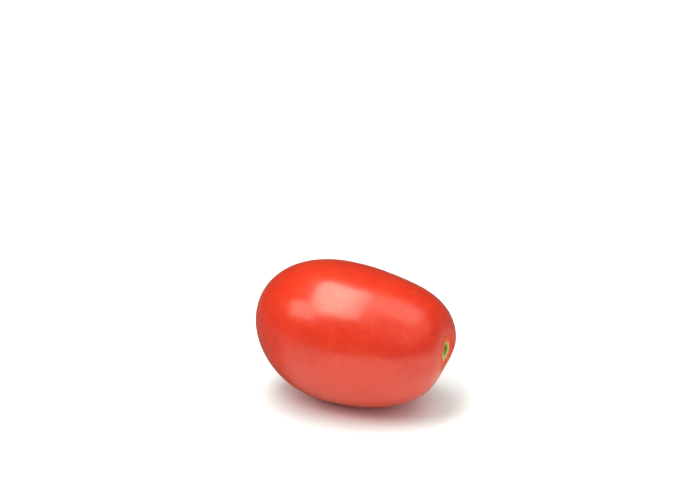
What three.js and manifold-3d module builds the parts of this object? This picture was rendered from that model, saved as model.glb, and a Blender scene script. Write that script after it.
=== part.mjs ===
// A ripe plum tomato as picked, lying on its side, in millimetres with +Z up.
// It grew as one piece, so it is one solid: skin, stem scar and blossom tip are one closed surface.
// +X runs from the blossom end to the stem end, level with the table that the fruit lies on.
// The origin is the bottom centre of the fruit's box, level with the flat spot underneath.

import * as THREE from 'three';
import { mergeVertices } from 'three/addons/utils/BufferGeometryUtils.js';
import Module from 'manifold-3d';

// The body is a blunt spindle, a little fuller towards the stem end.
const LENGTH = 66.8;
const RADIUS = 24.21;
const BLUNTNESS = 0.85;
const TAPER = -0.045;
const WAIST = 0.022;
const SHOULDER = -0.038;

// The fruit is bent like a shallow cradle: its ends stand this much above its middle.
const BEND = 2.3;

// The section is nearly round, with a faint oval and three faint lobes, one over each seed chamber.
const OVAL = 0.008;
const LOBES = 0.006;
const LOBE_TURN = THREE.MathUtils.degToRad(20);

// The stem end is a flat-bottomed bowl. Its wall is steep low down on the -Y side and gentle
// across from there. Its rounded rim stands highest at both sides and, as a bulge, low down on
// the -Y side.
const BOWL_DEPTH = 1.2;
const BOWL_RADIUS = 6.4;
const GENTLE_WALL = 3.5;
const STEEP_WALL = 8;
const STEEP_TURN = THREE.MathUtils.degToRad(200);
const RIM_RADIUS = 8.0;
const UPPER_SHOULDER = 0.28;
const SIDE_SHOULDERS = 0.67;
const LOW_SHOULDER = 0.5;

// The stem scar is a corky disc with three soft corners, a raised ring and a sunken middle. It
// sits a little to the -Y side.
const SCAR_RADIUS = 3.25;
const SCAR_OFFSET = 0.2;
const SCAR_OFFSET_TURN = THREE.MathUtils.degToRad(170);
const SCAR_CORNERS = 3;
const CORNER_REACH = 0.09;
const CORNER_TURN = THREE.MathUtils.degToRad(190);
const RING_HEIGHT = 0.3;
const RING_PLACE = 0.82;
const RING_WIDTH = 0.17;
const PIT_DEPTH = 0.45;
const PIT_WIDTH = 0.3;

// The blossom end is a shallow pucker round the dry tip that the flower left.
const PUCKER_DEPTH = 0.4;
const PUCKER_RADIUS = 2.6;
const TIP_HEIGHT = 0.45;
const TIP_RADIUS = 0.7;

// At rest the stem end lies lower by this angle, and the underside is pressed flat this deep.
const REST_TILT = THREE.MathUtils.degToRad(5.233);
const PRESSED = 0.4;

// The surface is rings of points along the fruit. The rings crowd towards both ends.
const RINGS = 64;
const POINTS = 48;
const CROWDING = 0.9;

// A bell curve: 1 where the offset is nothing, fading over the given width.
function bell(offset, width) {
  return Math.exp(-((offset / width) ** 2));
}

// Distance of the skin from the fruit's axis: a sine to a power, shaded by three cosines along
// the fruit, times the section's two cosines round it.
function bodyRadius(along, around) {
  const taper = TAPER * Math.cos(along);
  const waist = WAIST * Math.cos(2 * along);
  const shoulder = SHOULDER * Math.cos(3 * along);
  const oval = OVAL * Math.cos(2 * around);
  const lobes = LOBES * Math.cos(3 * (around - LOBE_TURN));
  return RADIUS * Math.sin(along) ** BLUNTNESS * (1 + taper + waist + shoulder) * (1 + oval + lobes);
}

// Distance of the scar's edge from the axis: a circle set off to one side, with soft corners.
function scarEdge(around) {
  const offset = SCAR_OFFSET * Math.cos(around - SCAR_OFFSET_TURN);
  const corners = CORNER_REACH * Math.cos(SCAR_CORNERS * (around - CORNER_TURN));
  return SCAR_RADIUS * (1 + offset + corners);
}

// How far the stem end stands out over the plain spindle, at a distance r from the axis.
function stemRelief(r, around) {
  const steep = ((1 + Math.cos(around - STEEP_TURN)) / 2) ** 2;
  const flatness = GENTLE_WALL + (STEEP_WALL - GENTLE_WALL) * steep;
  const bowl = -BOWL_DEPTH * Math.exp(-((r / BOWL_RADIUS) ** flatness));
  const rim = (r / RIM_RADIUS) ** 2 * Math.exp(1 - (r / RIM_RADIUS) ** 2);
  const upper = UPPER_SHOULDER * Math.sin(around);
  const sides = SIDE_SHOULDERS * Math.cos(2 * around);
  const low = LOW_SHOULDER * Math.sin(2 * around) * (1 - Math.cos(around)) / 2;
  const ring = RING_HEIGHT * bell(r / scarEdge(around) - RING_PLACE, RING_WIDTH);
  const pit = -PIT_DEPTH * bell(r / scarEdge(around), PIT_WIDTH);
  return bowl + rim * (upper + sides + low) + ring + pit;
}

// The same at the blossom end.
function blossomRelief(r) {
  return TIP_HEIGHT * bell(r, TIP_RADIUS) - PUCKER_DEPTH * bell(r, PUCKER_RADIUS);
}

// A point of the skin on the fruit's own axes. The angle along is 0 at the blossom end and pi at
// the stem end. The angle around is 0 on the +Y side and a quarter turn on top.
function skinPoint(along, around) {
  const r = bodyRadius(along, around);
  const relief = along > Math.PI / 2 ? stemRelief(r, around) : -blossomRelief(r);
  const x = -LENGTH / 2 * Math.cos(along) + relief;
  const y = r * Math.cos(around);
  const z = r * Math.sin(around) + BEND * Math.cos(along) ** 2;
  return [x, y, z];
}

// The whole skin, with one point at each end, closed by a fan of triangles.
function skinGeometry() {
  const points = [...skinPoint(0, 0)];
  for (let ring = 1; ring < RINGS; ring++) {
    const turn = 2 * Math.PI * ring / RINGS;
    const along = (turn - CROWDING * Math.sin(turn)) / 2;
    for (let point = 0; point < POINTS; point++) {
      points.push(...skinPoint(along, 2 * Math.PI * point / POINTS));
    }
  }
  points.push(...skinPoint(Math.PI, 0));

  const blossomEnd = 0;
  const stemEnd = points.length / 3 - 1;
  const at = (ring, point) => 1 + (ring - 1) * POINTS + point % POINTS;
  const faces = [];
  for (let point = 0; point < POINTS; point++) {
    faces.push(blossomEnd, at(1, point + 1), at(1, point));
    for (let ring = 1; ring < RINGS - 1; ring++) {
      faces.push(at(ring, point), at(ring, point + 1), at(ring + 1, point + 1));
      faces.push(at(ring, point), at(ring + 1, point + 1), at(ring + 1, point));
    }
    faces.push(stemEnd, at(RINGS - 1, point), at(RINGS - 1, point + 1));
  }

  const geometry = new THREE.BufferGeometry();
  geometry.setAttribute('position', new THREE.Float32BufferAttribute(points, 3));
  geometry.setIndex(faces);
  return geometry;
}

// Moves a geometry so that its box stands on z = 0 with its centre over the origin.
function standOnOrigin(geometry) {
  geometry.computeBoundingBox();
  const { min, max } = geometry.boundingBox;
  geometry.translate(-(min.x + max.x) / 2, -(min.y + max.y) / 2, -min.z);
}

const wasm = await Module();
wasm.setup();

// A closed geometry as a solid that can be cut.
function solidOf(geometry) {
  const bare = geometry.clone();
  bare.deleteAttribute('normal');
  bare.deleteAttribute('uv');
  const closed = mergeVertices(bare);
  return new wasm.Manifold(new wasm.Mesh({
    numProp: 3,
    vertProperties: new Float32Array(closed.attributes.position.array),
    triVerts: new Uint32Array(closed.index.array),
  }));
}

// A cut solid as a geometry again.
function geometryOf(solid) {
  const { vertProperties, triVerts } = solid.getMesh();
  const geometry = new THREE.BufferGeometry();
  geometry.setAttribute('position', new THREE.BufferAttribute(vertProperties, 3));
  geometry.setIndex(new THREE.BufferAttribute(triVerts, 1));
  geometry.computeVertexNormals();
  return geometry;
}

// The fruit at rest, less what the table presses flat.
function restingGeometry() {
  const skin = skinGeometry();
  skin.rotateY(REST_TILT);
  standOnOrigin(skin);
  skin.translate(0, 0, -PRESSED);
  const table = new THREE.BoxGeometry(2 * LENGTH, 2 * LENGTH, LENGTH);
  table.translate(0, 0, -LENGTH / 2);
  return geometryOf(solidOf(skin).subtract(solidOf(table)));
}

const ripeSkin = new THREE.MeshStandardMaterial({ color: 0xde2a1a, roughness: 0.2, metalness: 0 });

const tomato = new THREE.Mesh(restingGeometry(), ripeSkin);
tomato.name = 'tomato';

const fruit = new THREE.Group();
fruit.add(tomato);

export default fruit;
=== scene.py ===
from math import atan, cos, pi, radians, sin

import bpy
import numpy as np
from mathutils import Matrix, Vector


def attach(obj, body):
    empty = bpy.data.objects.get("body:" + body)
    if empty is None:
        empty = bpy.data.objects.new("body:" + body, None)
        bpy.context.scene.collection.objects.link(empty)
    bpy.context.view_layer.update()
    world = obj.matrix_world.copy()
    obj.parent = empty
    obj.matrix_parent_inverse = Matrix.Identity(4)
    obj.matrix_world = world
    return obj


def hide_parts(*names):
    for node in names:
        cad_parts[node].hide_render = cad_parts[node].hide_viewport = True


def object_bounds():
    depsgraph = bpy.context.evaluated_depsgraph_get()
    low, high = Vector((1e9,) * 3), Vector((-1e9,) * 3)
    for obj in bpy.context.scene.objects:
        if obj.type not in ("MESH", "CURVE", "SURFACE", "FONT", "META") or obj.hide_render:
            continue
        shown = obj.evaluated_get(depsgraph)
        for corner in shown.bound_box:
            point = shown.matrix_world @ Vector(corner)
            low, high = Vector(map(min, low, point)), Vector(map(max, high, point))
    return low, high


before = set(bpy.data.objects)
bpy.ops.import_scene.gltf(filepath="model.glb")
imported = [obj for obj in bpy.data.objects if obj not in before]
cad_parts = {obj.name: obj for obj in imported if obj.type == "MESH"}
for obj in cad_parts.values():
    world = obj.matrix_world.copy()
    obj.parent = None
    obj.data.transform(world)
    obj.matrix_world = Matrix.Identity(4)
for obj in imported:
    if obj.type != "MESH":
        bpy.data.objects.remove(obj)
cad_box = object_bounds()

# The skin is the whole outside of the fruit, a blunt spindle bent like a shallow cradle. It is a
# taut waxy film grown over soft flesh. The three seed chambers inside lift faint lobes in it,
# and the table presses a small flat spot into its underside. Sizes here are in millimetres.
MM = 0.001
LENGTH = 66.8
RADIUS = 24.21
BLUNTNESS = 0.85
TAPER = -0.045
WAIST = 0.022
SHOULDER = -0.038
BEND = 2.3
OVAL = 0.008
LOBES = 0.006
LOBE_TURN = radians(20)
REST_TILT = radians(5.233)
PRESSED = 0.4

BOWL_DEPTH = 1.2
BOWL_RADIUS = 6.4
GENTLE_WALL = 3.5
STEEP_WALL = 8
STEEP_TURN = radians(200)
RIM_RADIUS = 8.0
UPPER_SHOULDER = 0.28
SIDE_SHOULDERS = 0.67
LOW_SHOULDER = 0.5
SCAR_RADIUS = 3.25
SCAR_OFFSET = 0.2
SCAR_OFFSET_TURN = radians(170)
CORNER_REACH = 0.09
CORNER_TURN = radians(190)
SEAT_DEPTH = 1.4
SEAT_EDGE = 0.04
SEAT_WALL = 0.24
CUSHION_HEIGHT = 0.12
CUSHION_PLACE = 0.5
CUSHION_WIDTH = 0.38

PUCKER_DEPTH = 0.4
PUCKER_RADIUS = 2.6
PUCKER_FOLDS = 11
FOLD_DEPTH = 0.05
FOLD_PLACE = 1.5
FOLD_REACH = 0.9

SKIN_POINTS = 300
BLOSSOM_RINGS = 36
BLOSSOM_REACH = 5.0
BODY_RINGS = 150
BOWL_RINGS = 108
BOWL_REACH = 9.0
SEAT_RINGS = 8
SEAT_REACH = 2.0


def bell(offset, width):
    """1 where the offset is nothing, fading over the width: e to the power of minus its square."""
    return np.exp(-((offset / width) ** 2))


def ease(value):
    """0 below 0, 1 above 1 and between them three times the square less twice the cube."""
    held = np.clip(value, 0, 1)
    return held * held * (3 - 2 * held)


def mean_radius(along):
    """Distance of the skin from the fruit's axis: a sine to a power, shaded by three cosines."""
    shade = TAPER * np.cos(along) + WAIST * np.cos(2 * along) + SHOULDER * np.cos(3 * along)
    return RADIUS * np.sin(along) ** BLUNTNESS * (1 + shade)


def section(around):
    """The section's outline: a circle with two faint cosines, one oval and one three-lobed."""
    return 1 + OVAL * np.cos(2 * around) + LOBES * np.cos(3 * (around - LOBE_TURN))


def swell(along, around):
    """Slow unevenness of a grown skin, in mm: crossed waves that die out at both ends."""
    waves = 0.09 * np.sin(5 * along + 0.4) * np.cos(2 * around + 0.9)
    waves = waves + 0.06 * np.cos(7 * along - 1.1) * np.cos(3 * around - 0.6)
    waves = waves + 0.035 * np.sin(11 * along + 2.0) * np.cos(5 * around + 1.7)
    waves = waves + 0.014 * np.sin(21 * along + 3 * around) * np.cos(8 * around + 0.7)
    waves = waves + 0.008 * np.cos(34 * along - 5 * around + 1.0) * np.cos(11 * around - 1.3)
    return waves * np.sin(along) ** 2


def scar_edge(around):
    """Distance of the scar's torn edge from the axis: a circle set off to one side, with three
    soft corners and smaller nicks."""
    offset = SCAR_OFFSET * np.cos(around - SCAR_OFFSET_TURN)
    corners = CORNER_REACH * np.cos(3 * (around - CORNER_TURN)) + 0.022 * np.sin(5 * around)
    nicks = 0.009 * np.cos(11 * around + 0.5) + 0.006 * np.cos(17 * around + 1.3)
    return SCAR_RADIUS * (1 + offset + corners + nicks)


def bowl(r, around):
    """The hollow of the stem end and the rim round it, in mm along the axis. The hollow's wall is
    steep low down on the side towards -Y and gentle across from there. The rim stands highest
    at both sides and, as a bulge, low down towards -Y."""
    steep = ((1 + np.cos(around - STEEP_TURN)) / 2) ** 2
    flatness = GENTLE_WALL + (STEEP_WALL - GENTLE_WALL) * steep
    hollow = -BOWL_DEPTH * np.exp(-((r / BOWL_RADIUS) ** flatness))
    rim = (r / RIM_RADIUS) ** 2 * np.exp(1 - (r / RIM_RADIUS) ** 2)
    upper = UPPER_SHOULDER * np.sin(around)
    sides = SIDE_SHOULDERS * np.cos(2 * around)
    low = LOW_SHOULDER * np.sin(2 * around) * (1 - np.cos(around)) / 2
    return hollow + rim * (upper + sides + low)


def stem_relief(r, around):
    """The bowl, with a cushion of skin round the scar and a sunken seat for its cork."""
    outside = r - scar_edge(around)
    cushion = CUSHION_HEIGHT * bell(outside - CUSHION_PLACE, CUSHION_WIDTH)
    seat = -SEAT_DEPTH * ease((SEAT_EDGE - outside) / SEAT_WALL)
    return bowl(r, around) + cushion + seat


def blossom_relief(r, around):
    """A shallow pucker, creased by fine folds that run out from the tip and fade."""
    folds = np.abs(np.sin(PUCKER_FOLDS / 2 * around + 0.8 * np.sin(2 * around))) - 0.6
    creases = FOLD_DEPTH * folds * bell(r - FOLD_PLACE, FOLD_REACH)
    return -PUCKER_DEPTH * bell(r, PUCKER_RADIUS) + creases


def fruit_points(x, r, around, along):
    """Points from their place on the axis and their distance from it, with the axis bent up."""
    y = r * np.cos(around)
    z = r * np.sin(around) + BEND * np.cos(along) ** 2
    return np.stack(np.broadcast_arrays(x, y, z), axis=-1)


def skin_points(along, around):
    """The skin at an angle along, 0 at the blossom end and pi at the stem end, and one around."""
    r = mean_radius(along) * section(around) + swell(along, around)
    at_stem = along > pi / 2
    relief = np.where(at_stem, stem_relief(r, around), -blossom_relief(r, around))
    return fruit_points(-LENGTH / 2 * np.cos(along) + relief, r, around, along)


def tilted(points):
    """Points turned about the Y axis until the stem end lies lower, as the fruit rests."""
    x, y, z = points[..., 0], points[..., 1], points[..., 2]
    level_x = x * cos(REST_TILT) + z * sin(REST_TILT)
    level_z = z * cos(REST_TILT) - x * sin(REST_TILT)
    return np.stack([level_x, y, level_z], axis=-1)


def closed_surface(name, first, rings, last, marks):
    """A smooth mesh of rings of points between a first and a last point, with marks kept as
    attributes. Quads join each ring to the next and a fan of triangles closes each end."""
    count, across = rings.shape[:2]
    points = np.concatenate([first.reshape(1, 3), rings.reshape(-1, 3), last.reshape(1, 3)])
    here = 1 + np.arange(count * across).reshape(count, across)
    beside = np.roll(here, -1, axis=1)
    walls = np.stack([here[:-1], beside[:-1], beside[1:], here[1:]], axis=-1).reshape(-1, 4)
    first_fan = np.stack([np.zeros(across, int), beside[0], here[0]], axis=-1)
    last_fan = np.stack([np.full(across, len(points) - 1), here[-1], beside[-1]], axis=-1)
    mesh = bpy.data.meshes.new(name)
    mesh.from_pydata(points.tolist(), [], walls.tolist() + first_fan.tolist() + last_fan.tolist())
    mesh.shade_smooth()
    for mark, values in marks.items():
        ends = [[values[0].mean()], values.ravel(), [values[-1].mean()]]
        mesh.attributes.new(mark, "FLOAT", "POINT").data.foreach_set("value", np.concatenate(ends))
    piece = bpy.data.objects.new(name, mesh)
    bpy.context.scene.collection.objects.link(piece)
    return piece


# Rings lie close together on the pucker and the bowl, where the relief is fine.
fine_along = np.linspace(0, pi, 20001)
fine_radius = mean_radius(fine_along)
half = len(fine_along) // 2
blossom_radii = np.linspace(0, BLOSSOM_REACH, BLOSSOM_RINGS + 1)[1:]
bowl_radii = np.concatenate([
    np.linspace(BOWL_REACH, SEAT_REACH, BOWL_RINGS),
    np.linspace(SEAT_REACH, 0, SEAT_RINGS + 2)[1:-1],
])
blossom_along = np.interp(blossom_radii, fine_radius[:half], fine_along[:half])
bowl_along = np.interp(bowl_radii, fine_radius[:half:-1], fine_along[:half:-1])
body_along = np.linspace(blossom_along[-1], bowl_along[0], BODY_RINGS + 2)[1:-1]
skin_along = np.concatenate([blossom_along, body_along, bowl_along])[:, None]
skin_around = np.linspace(0, 2 * pi, SKIN_POINTS, endpoint=False)[None, :]
skin_rings = tilted(skin_points(skin_along, skin_around))
blossom_pole = tilted(skin_points(np.array(0.0), np.array(0.0)))
stem_pole = tilted(skin_points(np.array(pi), np.array(0.0)))

# The fruit's own middle, set so that its box is over the CAD box and its underside is pressed.
box_low = skin_rings.min(axis=(0, 1))
box_high = skin_rings.max(axis=(0, 1))
cad_low, cad_high = np.array(cad_box[0]) / MM, np.array(cad_box[1]) / MM
fruit_middle = (cad_low + cad_high) / 2 - (box_low + box_high) / 2
fruit_middle[2] = cad_low[2] - PRESSED - box_low[2]


def laid_down(points):
    """Tilted points moved to the fruit's place, in metres, and pressed flat by the table."""
    placed = points + fruit_middle
    placed[..., 2] = np.maximum(placed[..., 2], 0)
    return placed * MM


# The skin's marks are the orange halo and the brown crevice round the scar, the warm flush of
# the stem end, the dry spot at the blossom tip, and the bowl, where the wax isn't rubbed bright.
HALO_WIDTH = 0.8
HALO_STRETCH = 0.35
HALO_TURN = 1.65
CREVICE_PLACE = 0.02
CREVICE_WIDTH = 0.11
CREVICE_STRENGTH = 0.8
FLUSH_WIDTH = 7.0
DRY_RADIUS = 1.3
SHELTER_RADIUS = 4.5
SHELTER_FADE = 5.5

skin_r = mean_radius(skin_along) * section(skin_around)
past_scar = skin_r - scar_edge(skin_around)
at_stem = skin_along > pi / 2
halo_width = HALO_WIDTH + HALO_STRETCH * np.cos(2 * (skin_around - HALO_TURN))
halo_width = halo_width + 0.08 * np.cos(3 * skin_around + 1)
halo = np.where(at_stem, bell(np.maximum(past_scar, 0), halo_width), 0)
crevice = CREVICE_STRENGTH * bell(past_scar - CREVICE_PLACE, CREVICE_WIDTH)
crevice = np.where(at_stem, crevice, 0)
flush = np.where(at_stem, bell(np.maximum(past_scar, 0), FLUSH_WIDTH), 0)
dry = np.where(at_stem, 0, bell(skin_r, DRY_RADIUS))
sheltered = np.where(at_stem, 1 - ease((skin_r - SHELTER_RADIUS) / SHELTER_FADE), 0)
skin = closed_surface(
    "tomato_skin", laid_down(blossom_pole), laid_down(skin_rings), laid_down(stem_pole),
    {"halo": halo, "crevice": crevice, "flush": flush, "dry": dry, "sheltered": sheltered},
)


def add_node(tree, kind, inputs=None, **settings):
    """A new node with its settings, and each input given a value or the socket that feeds it."""
    made = tree.nodes.new(kind)
    for name, value in settings.items():
        setattr(made, name, value)
    for name, value in (inputs or {}).items():
        if isinstance(value, bpy.types.NodeSocket):
            tree.links.new(value, made.inputs[name])
        else:
            made.inputs[name].default_value = value
    return made


def blend_colour(tree, factor, first, second, mode="MIX"):
    """A colour mixed from two by a factor."""
    mix = add_node(tree, "ShaderNodeMix", {0: factor, 6: first, 7: second}, data_type="RGBA")
    mix.blend_type = mode
    return mix.outputs[2]


def remap(tree, value, low, high, to_low, to_high):
    """A value taken smoothly from one span to another, and held there."""
    spans = {"Value": value, 1: low, 2: high, 3: to_low, 4: to_high}
    return add_node(tree, "ShaderNodeMapRange", spans, interpolation_type="SMOOTHSTEP").outputs[0]


def mark(tree, name):
    """The value of one of a piece's own marks."""
    return add_node(tree, "ShaderNodeAttribute", attribute_name=name).outputs["Fac"]


def noise(tree, place, grain, detail=3.0):
    """Cloudy noise whose clouds are about the given grain across, in mm."""
    inputs = {"Vector": place, "Scale": 1 / (grain * MM), "Detail": detail}
    return add_node(tree, "ShaderNodeTexNoise", inputs).outputs["Fac"]


def new_material(name):
    """An empty node material, its tree, its shader and its object coordinates."""
    material = bpy.data.materials.new(name)
    material.use_nodes = True
    tree = material.node_tree
    shader = tree.nodes["Principled BSDF"]
    place = add_node(tree, "ShaderNodeTexCoord").outputs["Object"]
    return material, tree, shader, place


RIPE_RED = (0.61, 0.0235, 0.0032, 1)
DEEP_RED = (0.56, 0.0165, 0.0028, 1)
WARM_RED = (0.65, 0.038, 0.0036, 1)
PALE_FLECK = (0.72, 0.075, 0.016, 1)
HALO_ORANGE = (0.74, 0.175, 0.022, 1)
CREVICE_BROWN = (0.36, 0.12, 0.02, 1)
DRY_BROWN = (0.13, 0.035, 0.012, 1)

skin_wax, tree, shader, place = new_material("ripe_skin")
cloud = remap(tree, noise(tree, place, 22, 2), 0.35, 0.65, 0, 1)
colour = blend_colour(tree, cloud, DEEP_RED, RIPE_RED)
mottle = remap(tree, noise(tree, place, 2.8), 0.40, 0.70, 0, 0.4)
colour = blend_colour(tree, mottle, colour, WARM_RED)
cells = add_node(tree, "ShaderNodeTexVoronoi", {"Vector": place, "Scale": 1 / (1.1 * MM)})
fleck = remap(tree, cells.outputs["Distance"], 0.08, 0.24, 0.16, 0)
colour = blend_colour(tree, fleck, colour, PALE_FLECK)
warm = remap(tree, mark(tree, "flush"), 0.1, 1, 0, 0.5)
colour = blend_colour(tree, warm, colour, WARM_RED)
broken = remap(tree, noise(tree, place, 0.5, 4), 0.3, 0.7, 0.55, 1.15)
ring = add_node(tree, "ShaderNodeMath", {0: mark(tree, "halo"), 1: broken}, operation="MULTIPLY")
colour = blend_colour(tree, remap(tree, ring.outputs[0], 0.08, 0.95, 0, 1), colour, HALO_ORANGE)
colour = blend_colour(tree, mark(tree, "crevice"), colour, CREVICE_BROWN)
colour = blend_colour(tree, mark(tree, "dry"), colour, DRY_BROWN)
tree.links.new(colour, shader.inputs["Base Color"])
roughness = remap(tree, noise(tree, place, 2.0), 0.3, 0.7, 0.30, 0.40)
dull = remap(tree, mark(tree, "sheltered"), 0, 1, 0, 0.3)
roughness = add_node(tree, "ShaderNodeMath", {0: roughness, 1: dull}, operation="ADD").outputs[0]
tree.links.new(roughness, shader.inputs["Roughness"])
shader.inputs["IOR"].default_value = 1.45
waxy = remap(tree, mark(tree, "sheltered"), 0, 1, 0.6, 0)
tree.links.new(waxy, shader.inputs["Coat Weight"])
shader.inputs["Coat Roughness"].default_value = 0.16
grain = noise(tree, place, 1.2, 2)
dimple = add_node(tree, "ShaderNodeBump", {"Strength": 0.08, "Distance": 0.2 * MM, "Height": grain})
tree.links.new(dimple.outputs["Normal"], shader.inputs["Normal"])
skin.data.materials.append(skin_wax)
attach(skin, "root")
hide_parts("tomato")

# The stem scar is the corky disc that the stalk broke from. It sits in the bowl of the stem end:
# a raised yellow-green lip round a darker hollow, with the torn ends of the sap strands in it.
CORK_MARGIN = 0.04
CORK_THICKNESS = 1.15
EDGE_DROP = 0.12
LIP_HEIGHT = 0.28
LIP_PLACE = 0.82
LIP_WIDTH = 0.16
HOLLOW_DEPTH = 0.36
HOLLOW_REACH = 0.36
HOLLOW_WALL = 0.28
PIT_DEPTH = 0.5
PIT_WIDTH = 0.3
PIT_LEFT = 0.18
PIT_UP = 0.33
FIBRE_HEIGHT = 0.05
LUMP_HEIGHT = 0.10
KNOB_HEIGHT = 0.06
STRANDS = 6
STRAND_RING = 0.5
STRAND_RADIUS = 0.42
STRAND_HEIGHT = 0.26
STRAND_BORE = 0.16
STRAND_BORE_DEPTH = 0.3
CORK_POINTS = 192
CORK_RINGS = 64
UNDER_RINGS = 6


def cork_relief(q, around):
    """Height of the cork at a share q of the way to its edge, in mm: a lip that swells and
    sinks round the disc, a hollow inside it to one side, a pit, ring-shaped strand ends, fine
    fibres that run outwards, and two sizes of lumps, each a sine across times a sine up."""
    uneven = 1 + 0.28 * np.cos(5 * around + 0.4) + 0.2 * np.cos(7 * around + 2)
    uneven = uneven + 0.12 * np.cos(12 * around + 1)
    lip = LIP_HEIGHT * uneven * bell(q - LIP_PLACE, LIP_WIDTH)
    off = np.hypot(q * np.cos(around) + PIT_LEFT, q * np.sin(around) - PIT_UP)
    hollow = -HOLLOW_DEPTH * (1 - ease((off - HOLLOW_REACH) / HOLLOW_WALL))
    pit = -PIT_DEPTH * bell(off, PIT_WIDTH)
    fibres = np.sin(29 * around + 5 * q + 2.4 * np.sin(3 * around + 4 * q))
    fibres = FIBRE_HEIGHT * fibres * ease((q - 0.15) / 0.3) * ease((1 - q) / 0.12)
    lumps = np.sin(9 * q * np.cos(around) + 1.2) * np.sin(8 * q * np.sin(around) - 0.5)
    turned = around - 0.7
    knobs = np.sin(17 * q * np.cos(turned)) * np.sin(15 * q * np.sin(turned))
    grown = LUMP_HEIGHT * lumps + KNOB_HEIGHT * knobs
    return lip + hollow + pit + fibres + grown + strand_ends(q, around)


def strand_ends(q, around):
    """Small mounds with sunken middles, each a wide bell less a narrow one, spaced unevenly
    round the hollow."""
    height = np.zeros(np.broadcast(q, around).shape)
    for strand in range(STRANDS):
        turn = 2 * pi * strand / STRANDS + 0.35 * sin(2.3 * strand + 0.6)
        reach = STRAND_RING * (1 + 0.16 * sin(4.1 * strand))
        across = q * np.cos(around) - reach * cos(turn)
        up = q * np.sin(around) - reach * sin(turn)
        off = SCAR_RADIUS * np.hypot(across, up)
        height = height + STRAND_HEIGHT * bell(off, STRAND_RADIUS)
        height = height - STRAND_BORE_DEPTH * bell(off, STRAND_BORE)
    return height


def end_plane(r, around):
    """The angle along at which the stem end has the radius r, found on the fine table."""
    return np.interp(r / section(around), fine_radius[:half:-1], fine_along[:half:-1])


def cork_points(q, around, height):
    """The disc at a share q of its radius, standing so many mm over the bowl, or under it."""
    r = q * (scar_edge(around) - CORK_MARGIN)
    along = end_plane(r, around)
    x = -LENGTH / 2 * np.cos(along) + bowl(r, around) + height
    return fruit_points(x, r, around, along)


cork_around = np.linspace(0, 2 * pi, CORK_POINTS, endpoint=False)[None, :]
under_q = np.linspace(0.15, 0.9, UNDER_RINGS)[:, None]
top_q = np.linspace(1, 0, CORK_RINGS + 1)[:-1, None]
unseen = np.zeros((UNDER_RINGS, CORK_POINTS))
under = cork_points(under_q, cork_around, unseen - CORK_THICKNESS)
relief = cork_relief(top_q, cork_around)
rounded = -EDGE_DROP * (1 - np.sqrt(1 - ease((top_q - 0.9) / 0.1) ** 2 * 0.999))
top = cork_points(top_q, cork_around, relief + rounded)
cork_rings = tilted(np.concatenate([under, top]))
middle = np.array(0.0)
under_pole = tilted(cork_points(middle, middle, -CORK_THICKNESS))
top_pole = tilted(cork_points(middle, middle, cork_relief(middle, middle)))

# The cork's marks are its low places, for painted shade, its crests, for painted light, and its
# torn edge.
low = np.concatenate([unseen, ease((0.10 - relief) / 0.38)])
painted_light_crest = np.concatenate([unseen, ease((relief - 0.10) / 0.3)])
edge = np.concatenate([unseen + 1, ease((top_q - 0.93) / 0.07) + 0 * cork_around])
cork = closed_surface(
    "stem_scar", laid_down(under_pole), laid_down(cork_rings), laid_down(top_pole),
    {"low": low, "painted_light_crest": painted_light_crest, "edge": edge},
)

FLANK_GREEN = (0.36, 0.41, 0.078, 1)
CREST_GREEN = (0.53, 0.53, 0.17, 1)
STRAW = (0.50, 0.37, 0.13, 1)
OLIVE = (0.17, 0.17, 0.02, 1)
BARK_BROWN = (0.105, 0.080, 0.014, 1)
TORN_BROWN = (0.19, 0.12, 0.03, 1)
cork_tissue, tree, shader, place = new_material("stem_cork")
patch = remap(tree, noise(tree, place, 0.7, 3), 0.45, 0.68, 0, 0.8)
# The crests are painted a paler green, as painted light.
colour = blend_colour(tree, mark(tree, "painted_light_crest"), FLANK_GREEN, CREST_GREEN)
colour = blend_colour(tree, patch, colour, STRAW)
stain = remap(tree, noise(tree, place, 0.5, 3), 0.4, 0.6, 0, 1)
painted_shade_colour = blend_colour(tree, stain, OLIVE, BARK_BROWN)
# The low places are painted darker olive and brown, as painted shade over the hollow's own tissue.
colour = blend_colour(tree, mark(tree, "low"), colour, painted_shade_colour)
torn = remap(tree, noise(tree, place, 0.9, 3), 0.35, 0.65, 0.15, 0.95)
torn = add_node(tree, "ShaderNodeMath", {0: mark(tree, "edge"), 1: torn}, operation="MULTIPLY")
colour = blend_colour(tree, torn.outputs[0], colour, TORN_BROWN)
tree.links.new(colour, shader.inputs["Base Color"])
shader.inputs["Roughness"].default_value = 0.62
shader.inputs["Specular IOR Level"].default_value = 0.25
fibre = noise(tree, place, 0.25, 4)
frayed = {"Strength": 0.5, "Distance": 0.08 * MM, "Height": fibre}
rough = add_node(tree, "ShaderNodeBump", frayed)
tree.links.new(rough.outputs["Normal"], shader.inputs["Normal"])
cork.data.materials.append(cork_tissue)
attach(cork, "root")

# The blossom tip is the dry stub that the flower left at the other end of the fruit. It is a
# brown papery knob about a millimetre across, grown on in the middle of the pucker.
TIP_HEIGHT = 0.45
TIP_RADIUS = 0.75
TIP_POINTS = 48
TIP_RINGS = 20

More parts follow.
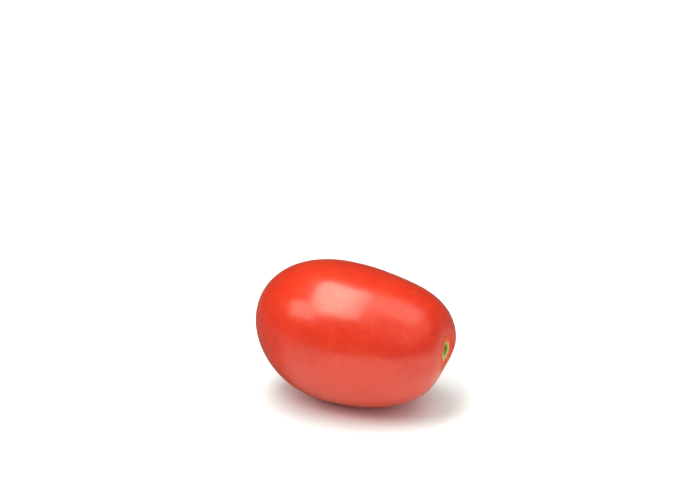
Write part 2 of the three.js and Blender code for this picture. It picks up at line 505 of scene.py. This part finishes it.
tip_around = np.linspace(0, 2 * pi, TIP_POINTS, endpoint=False)[None, :]
tip_turn = np.linspace(0, pi, TIP_RINGS + 2)[1:-1, None]
ragged = 1 + 0.12 * np.cos(3 * tip_around + 1) + 0.07 * np.cos(7 * tip_around)
tip_r = TIP_RADIUS * np.sin(tip_turn) ** 0.8 * ragged
tip_x = -LENGTH / 2 + PUCKER_DEPTH - (TIP_HEIGHT + 0.06 * np.cos(5 * tip_around)) * np.cos(tip_turn)
tip_rings = tilted(fruit_points(tip_x, tip_r, tip_around, 0.0))
tip_front = tilted(fruit_points(-LENGTH / 2 + PUCKER_DEPTH - TIP_HEIGHT, 0.0, 0.0, 0.0))
tip_back = tilted(fruit_points(-LENGTH / 2 + PUCKER_DEPTH + TIP_HEIGHT, 0.0, 0.0, 0.0))
tip = closed_surface(
    "blossom_tip", laid_down(tip_front), laid_down(tip_rings), laid_down(tip_back), {},
)

DRIED_STYLE = (0.10, 0.038, 0.014, 1)
PAPER_BROWN = (0.26, 0.13, 0.045, 1)
husk, tree, shader, place = new_material("dried_style")
scuffed = remap(tree, noise(tree, place, 0.3, 3), 0.4, 0.7, 0, 0.8)
colour = blend_colour(tree, scuffed, DRIED_STYLE, PAPER_BROWN)
tree.links.new(colour, shader.inputs["Base Color"])
shader.inputs["Roughness"].default_value = 0.75
crinkle = noise(tree, place, 0.18, 3)
creased = {"Strength": 0.5, "Distance": 0.06 * MM, "Height": crinkle}
rough = add_node(tree, "ShaderNodeBump", creased)
tree.links.new(rough.outputs["Normal"], shader.inputs["Normal"])
tip.data.materials.append(husk)
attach(tip, "root")

# The floor is a wide sheet of matt white board under the fruit, and part of the studio. A faint
# painted blush next to the contact stands in for the red that the skin casts there. In what the
# fruit mirrors, the board is painted bright beside it as painted light, with painted shade
# further away and behind it.
FLOOR_SIDE = 1.5
FLOOR_WHITE = (0.80, 0.87, 1.0, 1)
BLUSH_WHITE = (1.0, 0.75, 0.84, 1)
BLUSH_SHAPE = (0.65, 1, 0)
BLUSH_NEAR = 0.006
BLUSH_FAR = 0.021
FLOOR_GAP = 0.05
POOL_MIDDLE = (0.09, -0.07, 0)
POOL_NEAR = 0.07
POOL_FAR = 0.27
BEHIND = (-0.64, 0.77, 0)
BEHIND_NEAR = -0.015
BEHIND_FAR = 0.012
POOL_PAINTED_LIGHT = (0.82, 0.82, 0.82, 1)
POOL_PAINTED_SHADE = (0.12, 0.12, 0.12, 1)
reach = FLOOR_SIDE / 2
corners = [(-reach, -reach), (reach, -reach), (reach, reach), (-reach, reach)]
floor_mesh = bpy.data.meshes.new("floor")
floor_mesh.from_pydata([(x, y, -FLOOR_GAP * MM) for x, y in corners], [], [(0, 1, 2, 3)])
floor = bpy.data.objects.new("floor", floor_mesh)
bpy.context.scene.collection.objects.link(floor)
board, tree, shader, place = new_material("white_board")
# The board as glossy rays see it: painted light near the fruit, fading to painted shade further off
# and behind it.
afar = add_node(tree, "ShaderNodeVectorMath", {0: place, 1: POOL_MIDDLE}, operation="DISTANCE")
afar = remap(tree, afar.outputs["Value"], POOL_NEAR, POOL_FAR, 0, 1)
behind = add_node(tree, "ShaderNodeVectorMath", {0: place, 1: BEHIND}, operation="DOT_PRODUCT")
behind = remap(tree, behind.outputs["Value"], BEHIND_NEAR, BEHIND_FAR, 0, 1)
painted_shade_fade = add_node(tree, "ShaderNodeMath", {0: afar, 1: behind}, operation="MAXIMUM").outputs[0]
painted_light_pool = blend_colour(tree, painted_shade_fade, POOL_PAINTED_LIGHT, POOL_PAINTED_SHADE)
around = add_node(tree, "ShaderNodeVectorMath", {0: place, 1: BLUSH_SHAPE}, operation="MULTIPLY")
around = add_node(tree, "ShaderNodeVectorMath", {0: around.outputs[0]}, operation="LENGTH")
around = remap(tree, around.outputs["Value"], BLUSH_NEAR, BLUSH_FAR, 1, 0)
blush = blend_colour(tree, around, FLOOR_WHITE, BLUSH_WHITE)
mirrored = add_node(tree, "ShaderNodeLightPath").outputs["Is Glossy Ray"]
colour = blend_colour(tree, mirrored, blush, painted_light_pool)
tree.links.new(colour, shader.inputs["Base Color"])
shader.inputs["Roughness"].default_value = 0.9
shader.inputs["Specular IOR Level"].default_value = 0.1
floor_mesh.materials.append(board)

# The light is three soft boxes overhead, and a pale room round them. Each box faces the fruit
# and is given by where it hangs, its sides and how bright its cloth looks against the floor.
LAMP_WHITE = (1.0, 0.975, 0.82)
ROOM_WHITE = (1.0, 0.975, 0.82, 1)
ROOM_DARK = 0.08
ROOM_BRIGHT = 0.75
FILL_LEFT = 0.47
FILL_RIGHT = 1.0
BACKDROP = 1.15


def soft_box(name, place, sides, brightness, fade):
    """A rectangle of light that faces the fruit, with its first side level along X. Its cloth
    fades smoothly to nothing over a share of its sides next to each edge."""
    data = bpy.data.lights.new(name, "AREA")
    data.shape = "RECTANGLE"
    data.size, data.size_y = sides
    data.energy = brightness * pi * sides[0] * sides[1]
    data.color = LAMP_WHITE
    data.use_nodes = True
    tree = data.node_tree
    cloth = add_node(tree, "ShaderNodeNewGeometry").outputs["Parametric"]
    cloth = add_node(tree, "ShaderNodeSeparateXYZ", {"Vector": cloth}).outputs
    glow = 1.0
    for axis in ("X", "Y"):
        for rim, inside in ((0, fade), (1, 1 - fade)):
            edge = remap(tree, cloth[axis], rim, inside, 0, 1)
            both = {0: glow, 1: edge}
            glow = add_node(tree, "ShaderNodeMath", both, operation="MULTIPLY").outputs[0]
    tree.links.new(glow, tree.nodes["Emission"].inputs["Strength"])
    lamp = bpy.data.objects.new(name, data)
    back = (Vector(place) - Vector(fruit_middle * MM)).normalized()
    side = (Vector((1, 0, 0)) - back * back.x).normalized()
    facing = Matrix((side, back.cross(side), back)).transposed().to_4x4()
    lamp.matrix_world = Matrix.Translation(place) @ facing
    lamp.visible_camera = False
    bpy.context.scene.collection.objects.link(lamp)


soft_box("key_box", (-0.275, -0.256, 1.452), (0.78, 1.95), 7.2, 0.22)
soft_box("side_box", (-0.880, -0.740, 0.960), (0.98, 0.90), 3.6, 0.3)
soft_box("fill_box", (0.552, 0.138, 1.388), (1.20, 1.50), 1.7, 0.3)

room = bpy.data.worlds.new("studio")
bpy.context.scene.world = room
room.use_nodes = True
tree = room.node_tree
tree.nodes.clear()
outlook = add_node(tree, "ShaderNodeTexCoord").outputs["Generated"]
outlook = add_node(tree, "ShaderNodeSeparateXYZ", {"Vector": outlook}).outputs
rightward = remap(tree, outlook["X"], 0.0, 0.6, 0, 1)
upward = remap(tree, outlook["Z"], 0.15, 0.55, 0, 1)
forward = remap(tree, outlook["Y"], 0.65, 0.15, 0, 1)
bright = add_node(tree, "ShaderNodeMath", {0: rightward, 1: upward}, operation="MULTIPLY")
bright = add_node(tree, "ShaderNodeMath", {0: bright.outputs[0], 1: forward}, operation="MULTIPLY")
walls = remap(tree, bright.outputs[0], 0, 1, ROOM_DARK, ROOM_BRIGHT)
fill = remap(tree, outlook["X"], -0.6, 0.9, FILL_LEFT, FILL_RIGHT)
ray = add_node(tree, "ShaderNodeLightPath").outputs
glow = add_node(tree, "ShaderNodeMix", {0: ray["Is Diffuse Ray"], 2: walls, 3: fill})
room_light = add_node(tree, "ShaderNodeBackground", {
    "Color": ROOM_WHITE,
    "Strength": glow.outputs[0],
})
backdrop = add_node(tree, "ShaderNodeBackground", {"Color": (1, 1, 1, 1), "Strength": BACKDROP})
around_fruit = add_node(tree, "ShaderNodeMixShader", {
    0: ray["Is Camera Ray"],
    1: room_light.outputs[0],
    2: backdrop.outputs[0],
})
add_node(tree, "ShaderNodeOutputWorld", {"Surface": around_fruit.outputs[0]})
bpy.context.scene.view_settings.view_transform = "Standard"

# The camera has a long lens a little above the table. It looks over the fruit, so that the
# fruit lies below the middle of the picture, at the photograph's size, place and angle.
CAMERA_TURN = radians(21.3)
CAMERA_HEIGHT = radians(25.2)
CAMERA_DISTANCE = 0.645
LENS = 100
SENSOR = 36
PICTURE_WIDTH, PICTURE_HEIGHT = 700, 482
FRUIT_PIXEL = (353.3, 334.6)

focal_pixels = LENS / SENSOR * PICTURE_WIDTH
aside = atan((FRUIT_PIXEL[0] - PICTURE_WIDTH / 2) / focal_pixels)
below = atan((FRUIT_PIXEL[1] - PICTURE_HEIGHT / 2) / focal_pixels)


def camera_axes(turn, height):
    """The camera's right, up and backward directions at a turn and a height of its view."""
    back = Vector((sin(turn) * cos(height), -cos(turn) * cos(height), sin(height)))
    right = Vector((cos(turn), sin(turn), 0))
    return right, back.cross(right), back


stand = Vector(fruit_middle * MM) + camera_axes(CAMERA_TURN, CAMERA_HEIGHT)[2] * CAMERA_DISTANCE
axes = camera_axes(CAMERA_TURN + aside / cos(CAMERA_HEIGHT), CAMERA_HEIGHT - below)
camera_data = bpy.data.cameras.new("camera")
camera_data.lens = LENS
camera_data.sensor_width = SENSOR
camera_data.clip_start = 0.01
camera = bpy.data.objects.new("camera", camera_data)
camera.matrix_world = Matrix.Translation(stand) @ Matrix(axes).transposed().to_4x4()
bpy.context.scene.collection.objects.link(camera)
bpy.context.scene.camera = camera
